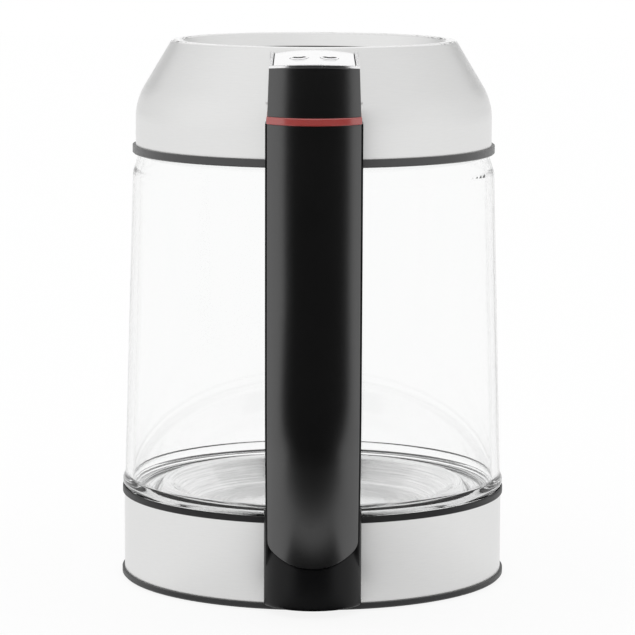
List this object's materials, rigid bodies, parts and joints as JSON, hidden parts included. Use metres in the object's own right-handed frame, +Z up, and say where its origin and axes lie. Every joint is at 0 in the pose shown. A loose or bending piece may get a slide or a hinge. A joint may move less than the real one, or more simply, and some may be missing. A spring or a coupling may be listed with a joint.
{
  "type": "electric kettle",
  "caption": "Cordless glass electric kettle jug with satin steel collar and base band, black loop handle, thumb-lever lid release, hinged lid, spout filter and concealed heater.",
  "frame": {"origin": "centre of the power socket's mouth, on the plane the jug stands on", "axes": "+Z up along the jug's axis, handle towards -Y, spout towards +Y"},
  "size_m": [0.155, 0.2108, 0.2166],
  "materials": {
    "black_plastic": "fine moulded texture",
    "grey_plastic": "plain moulded",
    "handle_black": "smooth semi-gloss",
    "red_translucent": "translucent, polished",
    "satin_steel": "satin, fine circular grain",
    "polished_steel": "polished",
    "sheath_steel": "drawn",
    "zinc_screw": "zinc plated",
    "cast_aluminium": "as cast",
    "contact_brass": "plain",
    "bright_chrome": "mirror plated",
    "black_silicone": "matt",
    "clear_silicone": "translucent, matt",
    "clear_glass": "clear borosilicate, polished"
  },
  "bodies": {
    "jug": {"base_cover": "black_plastic", "base_cover_screws": "zinc_screw", "base_chassis": "grey_plastic", "base_band": "satin_steel", "lower_seal": "black_silicone", "glass_body": "clear_glass", "heating_plate": "polished_steel", "heat_diffuser": "cast_aluminium", "heating_element": "sheath_steel", "heater_terminals": "zinc_screw", "control_body": "grey_plastic", "contact_rings": "contact_brass", "centre_contact": "contact_brass", "bimetal_discs": "contact_brass", "upper_gasket": "black_silicone", "collar": "satin_steel", "collar_liner": "black_plastic", "lid_seat": "black_plastic", "spout_filter": "grey_plastic", "handle_frame": "handle_black", "handle_cover": "handle_black", "accent_ring": "red_translucent", "handle_head": "handle_black", "head_trim": "satin_steel", "button_bezel": "bright_chrome", "upper_handle_screws": "zinc_screw", "lower_handle_screws": "zinc_screw", "button_pivot_pin": "polished_steel", "button_spring": "sheath_steel", "latch_spring": "sheath_steel", "lid_hinge_pin": "polished_steel", "lid_spring": "sheath_steel"},
    "lid": {"lid_top": "satin_steel", "lid_body": "black_plastic", "lid_gasket": "clear_silicone"},
    "button": {"lid_button": "bright_chrome"},
    "latch": {"latch_slider": "grey_plastic"}
  },
  "joints": [
    {"name": "lid_hinge", "type": "hinge", "parent": "jug", "child": "lid", "pos_m": [0, -0.044, 0.211], "axis": [1, 0, 0], "range_deg": [0, 68], "deforming": ["lid_spring"]},
    {"name": "button_press", "type": "hinge", "parent": "jug", "child": "button", "pos_m": [0, -0.068, 0.209], "axis": [1, 0, 0], "range_deg": [0, 4.5], "stiffness_Nm_per_rad": 1.5, "springref_deg": -2.86, "deforming": ["button_spring"]},
    {"name": "latch_slide", "type": "slide", "parent": "jug", "child": "latch", "axis": [0, -1, 0], "range_m": [0, 0.0021], "deforming": ["latch_spring"]}
  ],
  "couplings": [
    {"joint": "latch_slide", "follows": "button_press", "m_per_rad": 0.0245}
  ]
}
